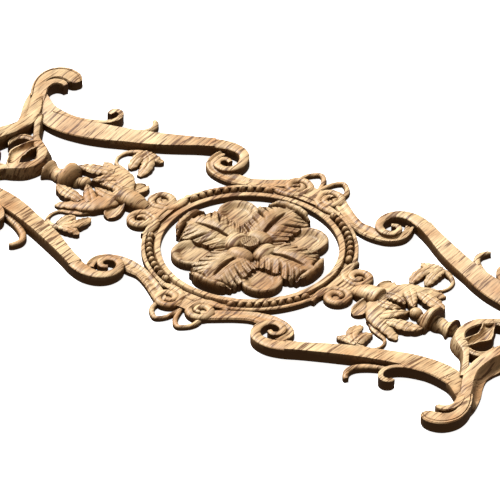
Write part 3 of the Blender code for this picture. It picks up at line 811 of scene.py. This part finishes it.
def node(tree, kind, place, **inputs):
    """Adds a shader node, with its number sockets set by name."""
    made = tree.nodes.new(kind)
    made.location = place
    for name, value in inputs.items():
        made.inputs[name.replace("_", " ")].default_value = value
    return made


def colour_mix(tree, place, mode, factor, first, second):
    """Mixes two colours. A socket is linked and a plain value is set."""
    mixer = tree.nodes.new("ShaderNodeMix")
    mixer.data_type = "RGBA"
    mixer.blend_type = mode
    mixer.location = place
    for socket, value in ((mixer.inputs[0], factor), (mixer.inputs[6], first),
                          (mixer.inputs[7], second)):
        if isinstance(value, bpy.types.NodeSocket):
            tree.links.new(value, socket)
        else:
            socket.default_value = value
    return mixer.outputs[2]


def ramp(tree, place, source, stops):
    """A colour ramp of grey values, from (position, value) stops."""
    made = tree.nodes.new("ShaderNodeValToRGB")
    made.location = place
    elements = made.color_ramp.elements
    elements[0].position, elements[1].position = stops[0][0], stops[-1][0]
    elements[0].color = (stops[0][1],) * 3 + (1.0,)
    elements[1].color = (stops[-1][1],) * 3 + (1.0,)
    for position, value in stops[1:-1]:
        elements.new(position).color = (value,) * 3 + (1.0,)
    tree.links.new(source, made.inputs[0])
    return made.outputs[0]


def carved_wood(name, looks, light):
    """Open-pored wood with its grain along Y, with shade painted dark into the cuts and onto steep
    walls.
    """
    material = bpy.data.materials.new(name)
    material.use_nodes = True
    tree = material.node_tree
    links = tree.links
    shader = tree.nodes["Principled BSDF"]
    shader.location = (1400, 0)
    shader.inputs["IOR"].default_value = 1.45
    shader.inputs["Specular IOR Level"].default_value = 0.35
    place = node(tree, "ShaderNodeTexCoord", (-1400, 0))
    turned_grain = node(tree, "ShaderNodeMapping", (-1200, 0))
    turned_grain.inputs["Rotation"].default_value = (0.0, 0.0, looks.grain_tilt)
    links.new(place.outputs["Object"], turned_grain.inputs["Vector"])
    stretched = node(tree, "ShaderNodeMapping", (-1000, 0))
    stretched.inputs["Scale"].default_value = (1.0, 0.06, 0.3)
    links.new(turned_grain.outputs[0], stretched.inputs["Vector"])
    fine = node(tree, "ShaderNodeTexNoise", (-800, 300), Scale=420.0, Detail=4.0, Roughness=0.6)
    links.new(stretched.outputs[0], fine.inputs["Vector"])
    streaks = node(tree, "ShaderNodeTexNoise", (-800, 0), Scale=1.2 / looks.streak_spacing,
                   Detail=2.0, Roughness=0.55, Distortion=0.3)
    links.new(stretched.outputs[0], streaks.inputs["Vector"])
    patches = node(tree, "ShaderNodeTexNoise", (-800, -300), Scale=22.0, Detail=2.0)
    links.new(turned_grain.outputs[0], patches.inputs["Vector"])
    pale = (*[channel * light for channel in looks.pale], 1.0)
    warm = (*[channel * light for channel in looks.warm], 1.0)
    patch_share = ramp(tree, (-600, -300), patches.outputs[0], ((0.35, 0.0), (0.68, 1.0)))
    base = colour_mix(tree, (-300, -200), "MIX", patch_share, pale, warm)
    fine_share = ramp(tree, (-600, 300), fine.outputs[0], ((0.36, 0.55), (0.6, 1.0)))
    base = colour_mix(tree, (-100, -100), "MULTIPLY", 1.0, base, fine_share)
    streak_share = ramp(tree, (-600, 0), streaks.outputs[0], ((0.545, 0.0), (0.6, 0.92)))
    base = colour_mix(tree, (100, 0), "MIX", streak_share, base, (*looks.streak, 1.0))
    # Painted shade: steep walls, found by the surface's normal, and deep cuts are painted dark as if
    # in shadow
    split = node(tree, "ShaderNodeSeparateXYZ", (-300, -600))
    links.new(place.outputs["Normal"], split.inputs[0])
    steep_wall_shade = ramp(tree, (-100, -600), split.outputs[2], ((0.14, 1.0), (0.7, 0.0)))
    base = colour_mix(tree, (400, -100), "MIX", steep_wall_shade, base, (*looks.painted_shade, 1.0))
    # Painted shade in the deep cuts: ambient occlusion darkens them towards the same dark colour
    cavity_shade = node(tree, "ShaderNodeAmbientOcclusion", (100, -500), Distance=0.006)
    cavity_shade.samples = 8
    cut = ramp(tree, (300, -500), cavity_shade.outputs["AO"], ((0.3, 1.0), (0.94, 0.0)))
    base = colour_mix(tree, (600, -100), "MIX", cut, base, (*looks.painted_shade, 1.0))
    links.new(base, shader.inputs["Base Color"])
    rough_share = ramp(tree, (-300, 500), fine.outputs[0],
                       ((0.3, looks.roughness + 0.14), (0.7, looks.roughness)))
    links.new(rough_share, shader.inputs["Roughness"])
    relief = colour_mix(tree, (400, 300), "MULTIPLY", 0.7, fine_share, fine_share)
    bump = node(tree, "ShaderNodeBump", (1100, 300), Strength=0.35, Distance=0.0006)
    links.new(relief, bump.inputs["Height"])
    links.new(bump.outputs[0], shader.inputs["Normal"])
    return material


# Stage, in metres and radians, with the camera's own sizes in millimetres

FLOOR_HALF = 6.0
FLOOR_GAP = 0.0002
FLOOR_GLOW = 0.9
SUN_SPREAD = math.radians(14.0)
SUN_BEHIND = math.radians(215.0)
SUN_HEIGHT = math.radians(52.0)
# A very long lens keeps the view nearly parallel
LENS_LENGTH = 1700.0
SENSOR_WIDTH = 36.0
FAR_CLIP = 200.0


def direction(azimuth, elevation):
    """From the middle towards a place that far round from the front and that far up."""
    return Vector((math.sin(azimuth) * math.cos(elevation),
                   -math.cos(azimuth) * math.cos(elevation), math.sin(elevation)))


class CARVING_OT_stage(bpy.types.Operator):
    """Sets the floor, the lamps and the camera"""
    bl_idname = "carving.stage"
    bl_label = "Floor, Light and Camera"

    def execute(self, context):
        looks = context.scene.stage_looks
        floor_mesh = bpy.data.meshes.new("floor")
        bm = bmesh.new()
        bmesh.ops.create_grid(bm, x_segments=1, y_segments=1, size=FLOOR_HALF)
        bm.to_mesh(floor_mesh)
        bm.free()
        floor = bpy.data.objects.new("floor", floor_mesh)
        floor.location.z = -FLOOR_GAP
        context.scene.collection.objects.link(floor)
        paint = bpy.data.materials.new("pale_floor")
        paint.use_nodes = True
        surface = paint.node_tree.nodes["Principled BSDF"]
        surface.inputs["Base Color"].default_value = (0.9, 0.9, 0.9, 1.0)
        surface.inputs["Roughness"].default_value = 0.9
        surface.inputs["Emission Color"].default_value = (1.0, 1.0, 1.0, 1.0)
        surface.inputs["Emission Strength"].default_value = FLOOR_GLOW
        floor_mesh.materials.append(paint)
        floor.visible_diffuse = False
        floor.visible_glossy = False

        world = bpy.data.worlds.new("studio")
        world.use_nodes = True
        sky = world.node_tree.nodes["Background"]
        sky.inputs["Color"].default_value = (1.0, 0.88, 0.74, 1.0)
        sky.inputs["Strength"].default_value = looks.fill
        context.scene.world = world

        key = bpy.data.lights.new("key", "SUN")
        key.energy = looks.key
        key.angle = SUN_SPREAD
        lamp = bpy.data.objects.new("key", key)
        towards = direction(looks.azimuth + SUN_BEHIND, SUN_HEIGHT)
        lamp.rotation_euler = towards.to_track_quat("Z", "Y").to_euler()
        lamp.location = towards * 3.0
        context.scene.collection.objects.link(lamp)

        lens = bpy.data.cameras.new("camera")
        lens.lens = LENS_LENGTH
        lens.sensor_width = SENSOR_WIDTH
        lens.clip_end = FAR_CLIP
        camera = bpy.data.objects.new("camera", lens)
        away = looks.view_width * LENS_LENGTH / SENSOR_WIDTH
        back = direction(looks.azimuth, looks.elevation)
        facing = back.to_track_quat("Z", "Y").to_matrix()
        camera.rotation_euler = (facing @ Matrix.Rotation(looks.roll, 3, "Z")).to_euler()
        camera.location = Vector(looks.aim) + back * away
        context.scene.collection.objects.link(camera)
        context.scene.camera = camera
        context.scene.view_settings.view_transform = "Standard"
        return {"FINISHED"}


class CARVING_PT_panel(bpy.types.Panel):
    """Lists the steps of the carving with its sizes and colours"""
    bl_idname = "CARVING_PT_panel"
    bl_label = "Carved Rosette"
    bl_space_type = "VIEW_3D"
    bl_region_type = "UI"
    bl_category = "Carving"

    def draw(self, context):
        layout = self.layout
        for step in STEPS:
            layout.operator(step.bl_idname)
        for group in (context.scene.carving_sizes, context.scene.wood_looks,
                      context.scene.stage_looks):
            box = layout.box()
            for name in group.bl_rna.properties.keys():
                if name not in ("rna_type", "name"):
                    box.prop(group, name)


STEPS = (CARVING_OT_ring, CARVING_OT_volutes, CARVING_OT_bands, CARVING_OT_ends,
         CARVING_OT_foliage, CARVING_OT_finial, CARVING_OT_frame, CARVING_OT_rosette,
         CARVING_OT_stage)
CLASSES = (CarvingSizes, WoodLooks, StageLooks, *STEPS, CARVING_PT_panel)


def register():
    for cls in CLASSES:
        bpy.utils.register_class(cls)
    bpy.types.Scene.carving_sizes = PointerProperty(type=CarvingSizes)
    bpy.types.Scene.wood_looks = PointerProperty(type=WoodLooks)
    bpy.types.Scene.stage_looks = PointerProperty(type=StageLooks)


def unregister():
    del bpy.types.Scene.stage_looks
    del bpy.types.Scene.wood_looks
    del bpy.types.Scene.carving_sizes
    for cls in reversed(CLASSES):
        bpy.utils.unregister_class(cls)


def main():
    """Builds the pieces and the stage."""
    register()
    bpy.ops.carving.ring()
    bpy.ops.carving.volutes()
    bpy.ops.carving.bands()
    bpy.ops.carving.ends()
    bpy.ops.carving.foliage()
    bpy.ops.carving.finial()
    bpy.ops.carving.frame()
    bpy.ops.carving.rosette()
    bpy.ops.carving.stage()
    bpy.context.view_layer.update()


if __name__ == "__main__":
    main()
